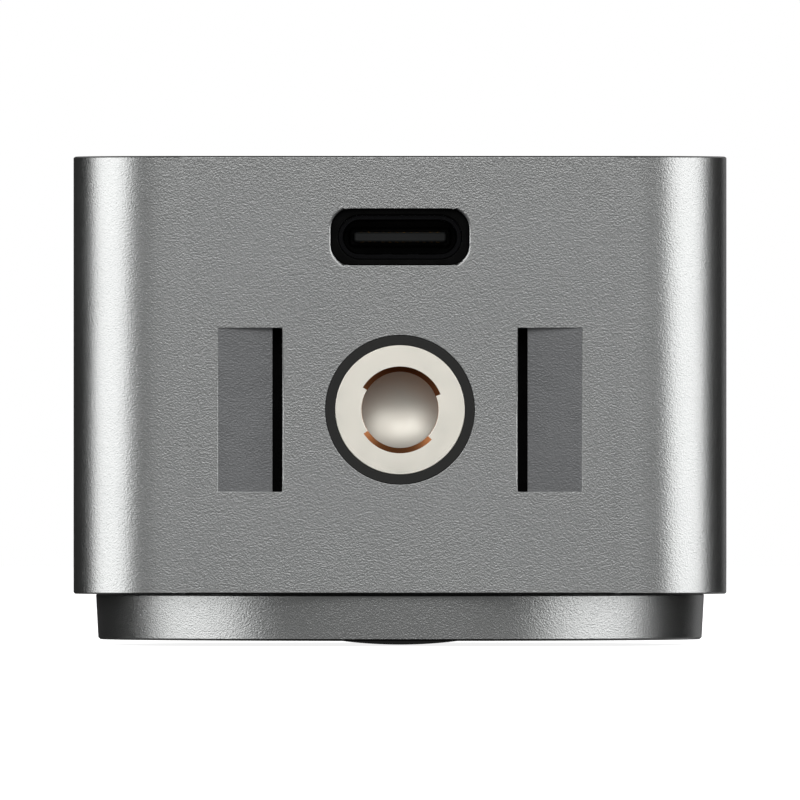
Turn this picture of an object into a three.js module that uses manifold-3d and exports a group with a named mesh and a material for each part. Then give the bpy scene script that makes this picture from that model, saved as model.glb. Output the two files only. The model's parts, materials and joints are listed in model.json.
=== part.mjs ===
// A compact USB-C webcam: a square aluminium body with a round front barrel and a glass dome.
// Millimetres. It stands on its front: the optical axis runs along -Z, out of the barrel, and
// +Z points to the rear cover. The face with the tripod thread and the USB-C port is at -Y.
// The origin is under the body's centre, level with the tip of the glass dome.
import * as THREE from 'three';
import { mergeVertices } from 'three/addons/utils/BufferGeometryUtils.js';
import Module from 'manifold-3d';

const wasm = await Module();
wasm.setup();

// ---- Driving dimensions ----------------------------------------------------------------
const bodySize = 47.7; // across the square body, in X and in Y
const bodyCorner = 8.2; // radius of its four long edges
const bodyLength = 31.93; // along the optical axis
const wall = 2.0;
const barrelHeight = 3.42;
const barrelRadius = 22.35; // where the barrel meets the body
const barrelTaper = 0.18; // what that radius loses on the way to the rim
const domeRise = 0.41; // how far the dome stands out past the barrel's rim
const domeCurve = 33.6; // its outer radius of curvature
const portBelowRear = 5.91; // centre of the USB-C port, from the rear edge
const threadBelowRear = 18.5; // centre of the tripod thread, from the rear edge
const gap = 0.02; // between pieces that rest on each other

// Levels along the optical axis.
const rimZ = domeRise;
const frontZ = rimZ + barrelHeight;
const floorZ = frontZ + wall;
const rearZ = frontZ + bodyLength;
const coverThickness = 1.58;
const coverZ = rearZ - coverThickness;
const portZ = rearZ - portBelowRear;
const threadZ = rearZ - threadBelowRear;

const half = bodySize / 2;
const cavitySize = bodySize - 2 * wall;
const coverSize = 44.4;
const coverCorner = bodyCorner - (bodySize - coverSize) / 2;
const innerFace = -half + wall; // the mounting wall's inside face

// Where the screws go, as [x, y] for the first of four that mirror in X and Y.
const coverScrew = [18.5, 18.5];
const ringScrew = [14.35, 14.35];
const standoff = [13.6, 10.5];
const shankRadius = 0.75;
const shankHole = 0.85;

// ---- Materials -------------------------------------------------------------------------
const finish = (color, roughness, metalness) =>
  new THREE.MeshStandardMaterial({ color, roughness, metalness });
const blastedAluminium = finish(0x8a8b8c, 0.42, 1);
const bareAluminium = finish(0xc4c6c8, 0.35, 1);
const blackAnodised = finish(0x161718, 0.45, 1);
const nickelBrass = finish(0xd8d0be, 0.22, 1);
const steel = finish(0xa5a7aa, 0.3, 1);
const blackSteel = finish(0x1b1c1d, 0.4, 1);
const copper = finish(0xb8672f, 0.35, 1);
const magnetNickel = finish(0x9a9c9f, 0.25, 1);
const springBronze = finish(0xb58d4a, 0.3, 1);
const blackNylon = finish(0x202122, 0.6, 0);
const darkCollar = finish(0x363736, 0.55, 0);
const blackSilicone = finish(0x121212, 0.75, 0);
const blackGlass = finish(0x050506, 0.08, 0);
const clearGlass = finish(0xd8e6ea, 0.03, 0);
const filterGlass = finish(0x9fd6d8, 0.05, 0);
const clearAcrylic = finish(0xeef2f2, 0.15, 0);
const boardGreen = finish(0x14452c, 0.5, 0);
const chipBlack = finish(0x1d1e20, 0.5, 0);
const sensorCeramic = finish(0x3a3540, 0.2, 0);
const thermalGrey = finish(0x8f979e, 0.85, 0);
const flexAmber = finish(0x9a5a18, 0.4, 0);

// ---- Shapes and solids -----------------------------------------------------------------
const smooth = 64; // segments of the large round pieces
const round = 32;
const small = 12;

function roundedRect(width, height, radius, segments = 6) {
  const x = width / 2 - radius;
  const y = height / 2 - radius;
  const shape = new THREE.Shape();
  shape.absarc(x, -y, radius, -Math.PI / 2, 0);
  shape.absarc(x, y, radius, 0, Math.PI / 2);
  shape.absarc(-x, y, radius, Math.PI / 2, Math.PI);
  shape.absarc(-x, -y, radius, Math.PI, 1.5 * Math.PI);
  return new THREE.Shape(shape.getPoints(segments));
}

// A shape drawn in X and Y, raised along Z from z0 to z1.
function prism(shape, z0, z1) {
  const raised = new THREE.ExtrudeGeometry(shape, { depth: z1 - z0, bevelEnabled: false });
  return raised.translate(0, 0, z0);
}

// A shape drawn in X and Z, running along Y from y0 to y1.
function prismY(shape, y0, y1, z) {
  const raised = new THREE.ExtrudeGeometry(shape, { depth: y1 - y0, bevelEnabled: false });
  return raised.rotateX(Math.PI / 2).translate(0, y1, z);
}

function box(x0, x1, y0, y1, z0, z1) {
  const block = new THREE.BoxGeometry(x1 - x0, y1 - y0, z1 - z0);
  return block.translate((x0 + x1) / 2, (y0 + y1) / 2, (z0 + z1) / 2);
}

// A block centred on x, y, standing from z0 to z1.
const block = (width, depth, z0, z1, x = 0, y = 0) =>
  box(x - width / 2, x + width / 2, y - depth / 2, y + depth / 2, z0, z1);

// A profile of [radius, height] pairs turned about the height axis, Y or Z. It runs with the
// outside on its right, and closes on itself unless both its ends are on the axis.
function turnedY(profile, segments = round) {
  const points = profile.map(([r, h]) => new THREE.Vector2(r, h));
  const onAxis = points[0].x === 0 && points[points.length - 1].x === 0;
  if (!onAxis) points.push(points[0].clone());
  return new THREE.LatheGeometry(points, segments);
}

const turned = (profile, segments = round) => turnedY(profile, segments).rotateX(Math.PI / 2);

const tube = (inner, outer, z0, z1, segments = round) =>
  turned([[inner, z0], [outer, z0], [outer, z1], [inner, z1]], segments);

const rod = (radius, z0, z1, segments = small) =>
  turned([[0, z0], [radius, z0], [radius, z1], [0, z1]], segments);

const rodY = (radius, y0, y1, segments = small) =>
  turnedY([[0, y0], [radius, y0], [radius, y1], [0, y1]], segments);

function toSolid(geometry) {
  const loose = geometry.index ? geometry.toNonIndexed() : geometry;
  const bare = new THREE.BufferGeometry().setAttribute('position', loose.getAttribute('position'));
  const merged = mergeVertices(bare, 1e-4);
  return new wasm.Manifold(new wasm.Mesh({
    numProp: 3,
    vertProperties: merged.attributes.position.array,
    triVerts: new Uint32Array(merged.index.array),
  }));
}

function toGeometry(solid) {
  const mesh = solid.getMesh();
  return new THREE.BufferGeometry()
    .setAttribute('position', new THREE.BufferAttribute(mesh.vertProperties, 3))
    .setIndex(new THREE.BufferAttribute(mesh.triVerts, 1));
}

const cut = (base, ...tools) =>
  toGeometry(tools.reduce((solid, tool) => solid.subtract(toSolid(tool)), toSolid(base)));

const join = (base, ...more) =>
  toGeometry(more.reduce((solid, piece) => solid.add(toSolid(piece)), toSolid(base)));

// The same geometry at the four mirrored places of [x, y].
const fourCorners = ([x, y]) => [[x, y], [-x, y], [-x, -y], [x, -y]];
const atCorners = (make, place) => fourCorners(place).map(([x, y]) => make().translate(x, y, 0));

const camera = new THREE.Group();
const fixed = new THREE.Group(); // everything that keeps still
const carriage = new THREE.Group(); // the lens and what moves with it
camera.add(fixed, carriage);

function add(group, name, geometry, material) {
  const mesh = new THREE.Mesh(geometry, material);
  mesh.name = name;
  group.add(mesh);
  return mesh;
}

// ---- Body ------------------------------------------------------------------------------
const padReach = 17.0; // half width of the thick pad behind the mounting face
const padHeight = 18.0;
const padDepth = 2.2; // what the pad adds to the wall
const padFace = innerFace + padDepth;
const collarRadius = 5.45; // the round hole that the thread's collar fills

// One of the two pockets that the claws of a clip snap into. A shallow ramp leads in to a
// narrow slot, which runs back under the face towards the thread. The slot goes through to
// the retainer plate.
function hookPocket(side) {
  const outer = 13.25;
  const rampEnd = 9.3;
  const slotEdge = 8.58;
  const undercut = 7.1;
  const rampTop = 0.1;
  const rampFoot = 1.1;
  const lip = 1.4;
  const depth = wall + padDepth + 0.5;
  const height = 11.93;
  const plan = [
    [outer, -1], [outer, rampTop], [rampEnd, rampFoot], [rampEnd, depth],
    [undercut, depth], [undercut, lip], [slotEdge, lip], [slotEdge, -1],
  ];
  const points = plan.map(([x, inwards]) => new THREE.Vector2(side * x, inwards - half));
  return prism(new THREE.Shape(points), threadZ - height / 2, threadZ + height / 2);
}

function bodyShell() {
  const bossRadius = 2.4;
  const pad = box(-padReach, padReach, innerFace - 1, padFace, threadZ - padHeight / 2,
    threadZ + padHeight / 2);
  const cavity = cut(
    prism(roundedRect(cavitySize, cavitySize, bodyCorner - wall), floorZ, rearZ + 1),
    pad,
    ...atCorners(() => rod(bossRadius, floorZ - 1, coverZ, round / 2), coverScrew),
  );
  const portWidth = 10.06;
  const portHeight = 4.14;
  const portCorner = 1.5;
  return cut(
    prism(roundedRect(bodySize, bodySize, bodyCorner, 12), frontZ, rearZ),
    cavity,
    prism(roundedRect(coverSize + 0.2, coverSize + 0.2, coverCorner + 0.1), coverZ, rearZ + 1),
    rod(18.0, frontZ - 1, floorZ + 1, smooth),
    prismY(roundedRect(portWidth, portHeight, portCorner), -half - 1, innerFace + 1, portZ),
    rodY(collarRadius, -half - 1, padFace + 1, smooth).translate(0, 0, threadZ),
    hookPocket(1),
    hookPocket(-1),
    ...retainerHoles(shankHole, padFace - 3, padFace + 1),
    ...atCorners(() => rod(shankHole, coverZ - 4, coverZ + 1), coverScrew),
    ...atCorners(() => rod(shankHole, frontZ - 1, floorZ + 1), ringScrew),
  );
}

// Cooling grooves run across the rear cover between its screws.
function rearCover() {
  const grooveWidth = 1.0;
  const grooveDepth = 0.7;
  const grooveLength = 27.0;
  const groovePitch = 2.6;
  const grooveCount = 11;
  const slot = roundedRect(grooveLength, grooveWidth, grooveWidth / 2 - 0.01, 3);
  const grooves = Array.from({ length: grooveCount }, (_, i) =>
    prism(slot, rearZ - grooveDepth, rearZ + 1)
      .translate(0, (i - (grooveCount - 1) / 2) * groovePitch, 0));
  const sink = () => turned([[0, coverZ - 1], [0.9, coverZ - 1], [0.9, rearZ - 0.85],
    [1.75, rearZ], [1.75, rearZ + 1], [0, rearZ + 1]], small);
  return cut(
    prism(roundedRect(coverSize, coverSize, coverCorner), coverZ, rearZ),
    ...grooves,
    ...atCorners(sink, coverScrew),
  );
}

const coverScrewShape = () => turned([[0, coverZ - 3.6], [shankRadius, coverZ - 3.6],
  [shankRadius, rearZ - 0.95], [1.55, rearZ - 0.12], [0, rearZ - 0.12]], small);

const panHeadScrew = (underHead, length) => turned([[0, underHead - length],
  [shankRadius, underHead - length], [shankRadius, underHead], [1.4, underHead],
  [1.4, underHead + 0.5], [1.1, underHead + 0.75], [0, underHead + 0.75]], small);

// ---- Tripod thread ---------------------------------------------------------------------
const insertRadius = 4.72;
const retainerBack = padFace + 1.2;
const retainerScrewAt = [9.6, 7.6]; // from the thread's centre, in X and Z

// Its two screws sit at opposite corners of the plate.
const retainerHoles = (radius, y0, y1) => [-1, 1].map((side) => rodY(radius, y0, y1)
  .translate(side * retainerScrewAt[0], 0, threadZ + side * retainerScrewAt[1]));

// A 1/4 inch tripod thread. The plain bore is at the thread's pitch radius, and two crescents
// in its mouth, above and below, open it to the major radius.
function tripodInsert() {
  const majorRadius = 3.175;
  const boreRadius = 2.78;
  const boreDepth = 5.6;
  const crescentDepth = 0.55;
  const crescents = [[21, 149], [213, 317]]; // degrees from +X towards +Z
  const flangeRadius = 6.2;
  const end = retainerBack + gap + 1.2;
  const mouth = -half;
  const sleeve = turnedY([
    [0, mouth + boreDepth], [boreRadius, mouth + boreDepth], [boreRadius, mouth],
    [insertRadius, mouth], [insertRadius, retainerBack + gap],
    [flangeRadius, retainerBack + gap], [flangeRadius, end], [0, end],
  ], smooth).translate(0, 0, threadZ);
  const relief = crescents.map((ends) => {
    const [start, stop] = ends.map((degrees) => (degrees * Math.PI) / 180);
    const sector = new THREE.Shape();
    sector.absarc(0, 0, majorRadius, start, stop);
    sector.absarc(0, 0, boreRadius - 0.3, stop, start, true);
    return prismY(new THREE.Shape(sector.getPoints(20)), mouth - 1, mouth + crescentDepth, threadZ);
  });
  return cut(sleeve, ...relief);
}

const insertCollar = () => turnedY([[insertRadius + 0.03, -half], [collarRadius - 0.03, -half],
  [collarRadius - 0.03, padFace - gap], [insertRadius + 0.03, padFace - gap]], smooth)
  .translate(0, 0, threadZ);

const insertRetainer = () => cut(
  prismY(roundedRect(24, 18, 2), padFace + gap, retainerBack, threadZ),
  rodY(insertRadius + 0.1, padFace - 1, retainerBack + 1, round).translate(0, 0, threadZ),
  ...retainerHoles(0.95, padFace - 1, retainerBack + 1),
);

const retainerScrew = () => turnedY([[0, padFace - 2.6], [shankRadius, padFace - 2.6],
  [shankRadius, retainerBack + gap], [1.4, retainerBack + gap], [1.4, retainerBack + 0.5],
  [1.1, retainerBack + 0.75], [0, retainerBack + 0.75]], small);

// ---- Front barrel ----------------------------------------------------------------------
const spigotRadius = 17.9;
const panelRadius = 19.1;
const panelFront = rimZ + 0.3;
const panelBack = panelFront + 1.3;

const barrelRing = () => cut(
  turned([
    [panelRadius + 0.08, rimZ], [barrelRadius - barrelTaper, rimZ],
    [barrelRadius, frontZ - gap], [spigotRadius, frontZ - gap], [spigotRadius, floorZ - 0.4],
    [17.2, floorZ - 0.4], [17.2, panelBack + gap], [panelRadius + 0.08, panelBack + gap],
  ], smooth),
  ...atCorners(() => rod(shankHole, frontZ - 2.4, frontZ + 1), ringScrew),
);

const micX = 14.3;
const pipeY = 14.2;

const facePanel = () => cut(
  tube(9.25, panelRadius, panelFront, panelBack, smooth),
  rod(0.55, panelFront - 1, panelBack + 1).translate(micX, 0, 0),
  rod(0.55, panelFront - 1, panelBack + 1).translate(-micX, 0, 0),
  rod(0.65, panelFront - 1, panelBack + 1).translate(0, pipeY, 0),
);

const domeRadius = 7.8;
const sphereSag = (r, curve) => curve - Math.sqrt(curve * curve - r * r);

// Points of a spherical face from the axis out to a rim radius, or back to the axis.
function sphericalFace(apexZ, curve, rim, inwards = false, steps = 4) {
  const points = Array.from({ length: steps + 1 }, (_, i) => {
    const r = (rim * i) / steps;
    return [r, apexZ + Math.sign(curve) * sphereSag(r, Math.abs(curve))];
  });
  return inwards ? points.reverse() : points;
}

function frontDome() {
  const thickness = 1.2;
  return turned([
    ...sphericalFace(0, domeCurve, domeRadius, false, 6),
    ...sphericalFace(thickness, domeCurve - 1, domeRadius, true, 6),
  ], round);
}

const domeEdgeZ = 1.2 + sphereSag(domeRadius, domeCurve - 1);

const lensBezel = () => turned([
  [domeRadius + 0.1, rimZ + 0.2], [9.2, rimZ + 0.2], [9.2, panelBack + gap],
  [10.6, panelBack + gap], [10.6, 2.95], [7.0, 2.95], [7.0, domeEdgeZ + gap],
  [domeRadius + 0.1, domeEdgeZ + gap],
], round);

// The ring board behind the panel carries both microphones and the status light.
const ringBoardZ = 3.5;
const ringBoard = () => join(
  tube(11.3, 17.0, ringBoardZ, ringBoardZ + 0.8, round),
  block(1.6, 0.9, ringBoardZ - 0.6, ringBoardZ + 0.1, 0, pipeY),
);

const microphone = () => block(3.5, 2.65, panelBack + 0.1, ringBoardZ - gap);

const lightPipe = () => rod(0.58, panelFront + 0.05, ringBoardZ - 0.65);

// ---- Lens and focus drive --------------------------------------------------------------
// A lens with a flat rim from z0 to z1 and curved faces with their tips at front and rear.
function lensElement(z0, z1, front, rear) {
  const clear = 3.4;
  const rim = 4.85;
  const face = (apex, edge, inwards) => {
    const sag = edge - apex;
    const curve = (clear * clear + sag * sag) / (2 * sag);
    return sphericalFace(apex, curve, clear, inwards);
  };
  return turned([
    ...face(front, z0, false), [rim, z0], [rim, z1], ...face(rear, z1, true),
  ], 24);
}

const lensSpacer = (z0, z1) => tube(3.9, 4.85, z0, z1, 24);

const lensBarrel = () => turned([[3.6, 3.4], [5.6, 3.4], [5.6, 13.6], [4.9, 13.6], [4.9, 4.2],
  [3.6, 4.2]], round);

const lensCarrier = () => turned([[5.65, 6.0], [7.5, 6.0], [7.5, 6.7], [6.6, 6.7], [6.6, 12.45],
  [5.65, 12.45]], round);

const driveYoke = () => cut(
  prism(roundedRect(21, 21, 1.2, 4), 5.0, 12.55),
  block(19.8, 19.8, 5.5, 13),
  rod(6.3, 4, 6, round),
);

const leafSpring = () => cut(
  prism(roundedRect(20.8, 20.8, 1.2, 4), 12.57, 12.68),
  rod(5.9, 12, 13, round),
  ...[0, 1, 2, 3].map((quarter) => prism(roundedRect(11, 0.8, 0.39, 3), 12, 13)
    .translate(0, 8.2, 0).rotateZ((quarter * Math.PI) / 2)),
);

const sensorBoardZ = 18.9;
const sensorPackage = 1.2;

const lensBase = () => cut(
  prism(roundedRect(21, 21, 1.2, 4), 12.7, sensorBoardZ - gap),
  rod(7.0, 12, 14.3, round),
  block(10.4, 8.4, 14.2, 14.75),
  block(8.6, 6.6, 14.5, 18),
  block(12.8, 10.8, sensorBoardZ - sensorPackage - 0.15, sensorBoardZ + 1),
);

// ---- Boards ----------------------------------------------------------------------------
const plateZ = sensorBoardZ + 1 + gap + 0.6; // underside of the sensor's heat plate
const plateTop = plateZ + 1;
const mainBoardZ = portZ - 2.73;
const mainBoardTop = mainBoardZ + 1;

const drilled = (geometry, radius, place) =>
  cut(geometry, ...atCorners(() => rod(radius, 0, rearZ), place));

const chassis = () => {
  const plateTopZ = floorZ + gap + 1.4;
  const plate = cut(
    prism(roundedRect(42.9, 42.9, 5.8), floorZ + gap, plateTopZ),
    block(21.6, 21.6, floorZ - 1, plateTopZ + 1),
    ...atCorners(() => rod(2.8, 0, rearZ, round / 2), coverScrew),
    ...atCorners(() => rod(shankHole, 0, rearZ), ringScrew),
  );
  const pegs = [90, 210, 330].map((degrees) => {
    const angle = (degrees * Math.PI) / 180;
    return rod(0.9, ringBoardZ + 0.8 + gap, plateTopZ - 0.5)
      .translate(15.4 * Math.cos(angle), 15.4 * Math.sin(angle), 0);
  });
  const posts = atCorners(() => rod(1.9, plateTopZ - 0.5, sensorBoardZ - gap), standoff);
  return cut(
    join(plate, ...pegs, ...posts),
    ...atCorners(() => rod(shankHole + 0.05, sensorBoardZ - 4, sensorBoardZ + 1), standoff),
  );
};

// A hexagonal spacer with a stud below and a tapped hole above.
const standoffShape = () => cut(
  join(rod(1.85, plateTop + gap, mainBoardZ - gap, 6), rod(0.8, sensorBoardZ - 3.4, plateTop + 1)),
  rod(shankHole, mainBoardZ - 4, mainBoardZ + 1),
);

const sensorFlex = () => {
  const thickness = 0.2;
  const width = 10;
  const bend = 1.6;
  const start = 12.9;
  const turn = 15.4;
  const low = sensorBoardZ + 1 + gap;
  const high = mainBoardZ - gap;
  const strip = new THREE.Shape();
  strip.moveTo(start, low);
  strip.absarc(turn, low + bend, bend, -Math.PI / 2, 0);
  strip.absarc(turn, high - bend, bend, 0, Math.PI / 2);
  strip.lineTo(start - 1, high);
  strip.lineTo(start - 1, high - thickness);
  strip.absarc(turn, high - bend, bend - thickness, Math.PI / 2, 0, true);
  strip.absarc(turn, low + bend, bend - thickness, 0, -Math.PI / 2, true);
  strip.lineTo(start, low + thickness);
  const outline = new THREE.Shape(strip.getPoints(6));
  const raised = new THREE.ExtrudeGeometry(outline, { depth: width, bevelEnabled: false });
  return raised.rotateY(Math.PI / 2).rotateX(Math.PI / 2).translate(-width / 2, 0, 0);
};

// ---- USB-C port ------------------------------------------------------------------------
const portMouth = -half + 0.9;
const portBack = portMouth + 7.4;

function portShell() {
  const tabs = [[4.2, portMouth + 2.6], [4.2, portBack - 1.2]].flatMap(([x, y]) =>
    [-x, x].map((side) => block(0.3, 1.1, mainBoardTop + gap, portZ - 0.9, side, y)));
  const sleeve = prismY(roundedRect(8.94, 3.16, 1.57), portMouth, portBack, portZ);
  return cut(
    join(sleeve, ...tabs),
    prismY(roundedRect(8.34, 2.56, 1.27), portMouth - 1, portBack + 1, portZ),
  );
}

const portTongue = () => join(
  prismY(roundedRect(6.69, 0.7, 0.2, 2), portMouth + 0.7, portMouth + 6, portZ),
  prismY(roundedRect(7.3, 1.3, 0.3, 2), portMouth + 4.2, portMouth + 6, portZ),
  prismY(roundedRect(8.28, 2.5, 1.24), portMouth + 5.2, portBack, portZ),
);

const portGasket = () => cut(
  prismY(roundedRect(10.05, 4.1, 1.46), -half + 0.5, innerFace + 0.7, portZ),
  prismY(roundedRect(9.04, 3.26, 1.62), -half, innerFace + 1, portZ),
);

// ---- Assembly --------------------------------------------------------------------------
add(fixed, 'body_shell', bodyShell(), blastedAluminium);
add(fixed, 'barrel_ring', barrelRing(), blastedAluminium);
add(fixed, 'rear_cover', rearCover(), blastedAluminium);
add(fixed, 'face_panel', facePanel(), blackGlass);
add(fixed, 'lens_bezel', lensBezel(), blackAnodised);
add(fixed, 'front_dome', frontDome(), blackGlass);
add(fixed, 'ring_board', ringBoard(), boardGreen);
add(fixed, 'light_pipe', lightPipe(), clearAcrylic).position.set(0, pipeY, 0);
add(fixed, 'microphone_left', microphone(), steel).position.set(-micX, 0, 0);
add(fixed, 'microphone_right', microphone(), steel).position.set(micX, 0, 0);
add(fixed, 'chassis', chassis(), blackNylon);

add(fixed, 'tripod_insert', tripodInsert(), nickelBrass);
add(fixed, 'insert_collar', insertCollar(), darkCollar);
add(fixed, 'insert_retainer', insertRetainer(), blackNylon);
for (const [name, side] of [['left', -1], ['right', 1]]) {
  add(fixed, `retainer_screw_${name}`, retainerScrew(), steel)
    .position.set(side * retainerScrewAt[0], 0, threadZ + side * retainerScrewAt[1]);
}

add(carriage, 'lens_barrel', lensBarrel(), blackAnodised);
add(carriage, 'lens_element_1', lensElement(4.25, 5.9, 3.75, 5.6), clearGlass);
add(carriage, 'lens_spacer_1', lensSpacer(5.95, 7.15), blackAnodised);
add(carriage, 'lens_element_2', lensElement(7.2, 8.2, 7.5, 7.95), clearGlass);
add(carriage, 'lens_spacer_2', lensSpacer(8.25, 9.25), blackAnodised);
add(carriage, 'lens_element_3', lensElement(9.3, 11.2, 8.9, 11.7), clearGlass);
add(carriage, 'lens_lock_ring', lensSpacer(11.25, 12.4), blackAnodised);
add(carriage, 'lens_carrier', lensCarrier(), blackNylon);
add(carriage, 'voice_coil', tube(6.65, 7.6, 6.75, 11.5), copper);

add(fixed, 'drive_yoke', driveYoke(), steel);
for (const [name, side] of [['left', -1], ['right', 1]]) {
  add(fixed, `drive_magnet_${name}`, block(1.4, 10, 6.6, 11.6), magnetNickel)
    .position.set(side * 9, 0, 0);
}
add(fixed, 'leaf_spring', leafSpring(), springBronze);
add(fixed, 'lens_base', lensBase(), blackNylon);
add(fixed, 'infrared_filter', block(10.2, 8.2, 14.32, 14.72), filterGlass);
add(fixed, 'image_sensor',
  block(12.5, 10.5, sensorBoardZ - gap - sensorPackage, sensorBoardZ - gap), sensorCeramic);
add(fixed, 'sensor_board',
  drilled(prism(roundedRect(32, 28, 1.5, 4), sensorBoardZ, sensorBoardZ + 1), 1, standoff),
  boardGreen);
add(fixed, 'sensor_thermal_pad', block(12, 10, sensorBoardZ + 1 + gap, plateZ - gap), thermalGrey);
add(fixed, 'sensor_heat_plate',
  drilled(prism(roundedRect(32, 25.2, 1.5, 4), plateZ, plateTop), 1, standoff), bareAluminium);
add(fixed, 'sensor_flex', sensorFlex(), flexAmber);

add(fixed, 'main_board', drilled(drilled(
  prism(roundedRect(42, 42, 5.4), mainBoardZ, mainBoardTop), 2.8, coverScrew), shankHole,
  standoff), boardGreen);
add(fixed, 'processor', block(13, 13, mainBoardTop + gap, mainBoardTop + 1.1, 0, 3), chipBlack);
add(fixed, 'processor_thermal_pad',
  block(12, 12, mainBoardTop + 1.12, mainBoardTop + 1.9, 0, 3), thermalGrey);
add(fixed, 'heat_block',
  block(15, 15, mainBoardTop + 1.92, coverZ - gap, 0, 3), bareAluminium);
add(fixed, 'memory_chip', block(7, 9, mainBoardTop + gap, mainBoardTop + 0.95, -12, 0), chipBlack);
add(fixed, 'usb_c_shell', portShell(), blackSteel);
add(fixed, 'usb_c_tongue', portTongue(), chipBlack);
add(fixed, 'usb_c_gasket', portGasket(), blackSilicone);

// Each set of four alike: barrel screws, board spacers, board screws and cover screws.
function addFour(name, make, place, material) {
  fourCorners(place).forEach(([x, y], i) => {
    add(fixed, `${name}_${i + 1}`, make(), material).position.set(x, y, 0);
  });
}
const chassisTop = floorZ + gap + 1.4;
addFour('barrel_screw', () => panHeadScrew(chassisTop + gap, 5.0), ringScrew, steel);
addFour('board_standoff', standoffShape, standoff, nickelBrass);
addFour('board_screw', () => panHeadScrew(mainBoardTop + gap, 3.6), standoff, steel);
addFour('cover_screw', coverScrewShape, coverScrew, blackSteel);

export default camera;
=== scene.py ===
import json
import math

import bmesh
import bpy
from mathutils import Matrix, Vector


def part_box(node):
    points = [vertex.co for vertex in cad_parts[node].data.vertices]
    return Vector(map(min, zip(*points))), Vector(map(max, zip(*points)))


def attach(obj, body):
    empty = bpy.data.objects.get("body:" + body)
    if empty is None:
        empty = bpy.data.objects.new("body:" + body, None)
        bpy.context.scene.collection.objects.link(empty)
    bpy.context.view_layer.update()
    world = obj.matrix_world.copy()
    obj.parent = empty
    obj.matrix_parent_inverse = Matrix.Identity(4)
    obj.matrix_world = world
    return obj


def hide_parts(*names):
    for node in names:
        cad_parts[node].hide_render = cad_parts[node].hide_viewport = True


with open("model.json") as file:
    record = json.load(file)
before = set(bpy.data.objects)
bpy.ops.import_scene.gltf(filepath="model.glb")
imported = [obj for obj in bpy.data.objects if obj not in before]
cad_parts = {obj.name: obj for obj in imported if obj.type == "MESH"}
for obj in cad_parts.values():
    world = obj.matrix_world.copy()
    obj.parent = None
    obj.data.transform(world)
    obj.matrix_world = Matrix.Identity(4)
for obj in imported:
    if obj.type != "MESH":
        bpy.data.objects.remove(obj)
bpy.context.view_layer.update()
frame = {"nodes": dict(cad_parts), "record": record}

mm = 0.001

# Every place comes from the CAD pieces' boxes, in millimetres.
def boxOf(node):
    low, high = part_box(node)
    return Vector(low) / mm, Vector(high) / mm


bodyLow, bodyHigh = boxOf("body_shell")
half = bodyHigh.x
frontZ, rearZ = bodyLow.z, bodyHigh.z
coverZ = boxOf("rear_cover")[0].z
rimZ = boxOf("barrel_ring")[0].z
threadLow, threadHigh = boxOf("insert_collar")
threadZ = (threadLow.z + threadHigh.z) / 2
padFace = threadHigh.y + 0.02
portLow, portHigh = boxOf("usb_c_gasket")
portZ = (portLow.z + portHigh.z) / 2
portMouth = boxOf("usb_c_shell")[0].y


# Modelling helpers: each wraps a few operators.
def deselectAll():
    if bpy.context.mode != "OBJECT":
        bpy.ops.object.mode_set(mode="OBJECT")
    bpy.ops.object.select_all(action="DESELECT")


def makeActive(piece):
    deselectAll()
    piece.select_set(True)
    bpy.context.view_layer.objects.active = piece


def nameActive(name):
    piece = bpy.context.object
    piece.name = name
    piece.data.name = name
    return piece


# goes into edit mode with only the verts, edges or faces selected that pass the test
def pick(piece, kind, test):
    if bpy.context.mode != "EDIT_MESH":
        makeActive(piece)
        bpy.ops.object.mode_set(mode="EDIT")
    bpy.ops.mesh.select_mode(type=kind)
    bpy.ops.mesh.select_all(action="DESELECT")
    mesh = bmesh.from_edit_mesh(piece.data)
    items = {"VERT": mesh.verts, "EDGE": mesh.edges, "FACE": mesh.faces}[kind]
    for item in items:
        if test(item):
            item.select_set(True)
    bmesh.update_edit_mesh(piece.data)


def editWhole(piece):
    makeActive(piece)
    bpy.ops.object.mode_set(mode="EDIT")
    bpy.ops.mesh.select_all(action="SELECT")


def leaveEdit():
    bpy.ops.object.mode_set(mode="OBJECT")


# closes the open ends of a swept strip and turns its faces outward
def closeEnds():
    bpy.ops.mesh.fill_holes(sides=4)
    bpy.ops.mesh.select_all(action="SELECT")
    bpy.ops.mesh.normals_make_consistent(inside=False)
    leaveEdit()


def applyModifier(piece, kind, **settings):
    makeActive(piece)
    modifier = piece.modifiers.new(kind.title(), kind)
    for key, value in settings.items():
        setattr(modifier, key, value)
    bpy.ops.object.modifier_apply(modifier=modifier.name)


def addBlock(name, low, high):
    deselectAll()
    low, high = Vector(low) * mm, Vector(high) * mm
    bpy.ops.mesh.primitive_cube_add(size=1, location=(low + high) / 2, scale=high - low)
    bpy.ops.object.transform_apply(location=True, rotation=True, scale=True)
    return nameActive(name)


def addRod(name, radius, low, high, axis="Z", sides=64):
    deselectAll()
    low, high = Vector(low) * mm, Vector(high) * mm
    turn = {"Z": (0, 0, 0), "Y": (math.pi / 2, 0, 0)}[axis]
    bpy.ops.mesh.primitive_cylinder_add(vertices=sides, radius=radius * mm,
                                        depth=(high - low).length, location=(low + high) / 2,
                                        rotation=turn)
    bpy.ops.object.transform_apply(location=True, rotation=True, scale=True)
    return nameActive(name)


# the edges that run along X, Y or Z (0, 1, 2)
def runsAlong(axis):
    def test(edge):
        step = edge.verts[1].co - edge.verts[0].co
        return abs(step[axis]) > 0.999 * step.length
    return test


# sharp edges that lie in one plane, such as z = 5 mm
def sharpIn(axis, level):
    def test(edge):
        return (all(abs(v.co[axis] / mm - level) < 0.002 for v in edge.verts)
                and edge.calc_face_angle(0) > 0.5)
    return test


def roundEdges(piece, test, radius, segments):
    pick(piece, "EDGE", test)
    bpy.ops.mesh.bevel(offset=radius * mm, segments=segments, profile=0.5, affect="EDGES",
                       clamp_overlap=False)
    leaveEdit()
    return piece


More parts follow.
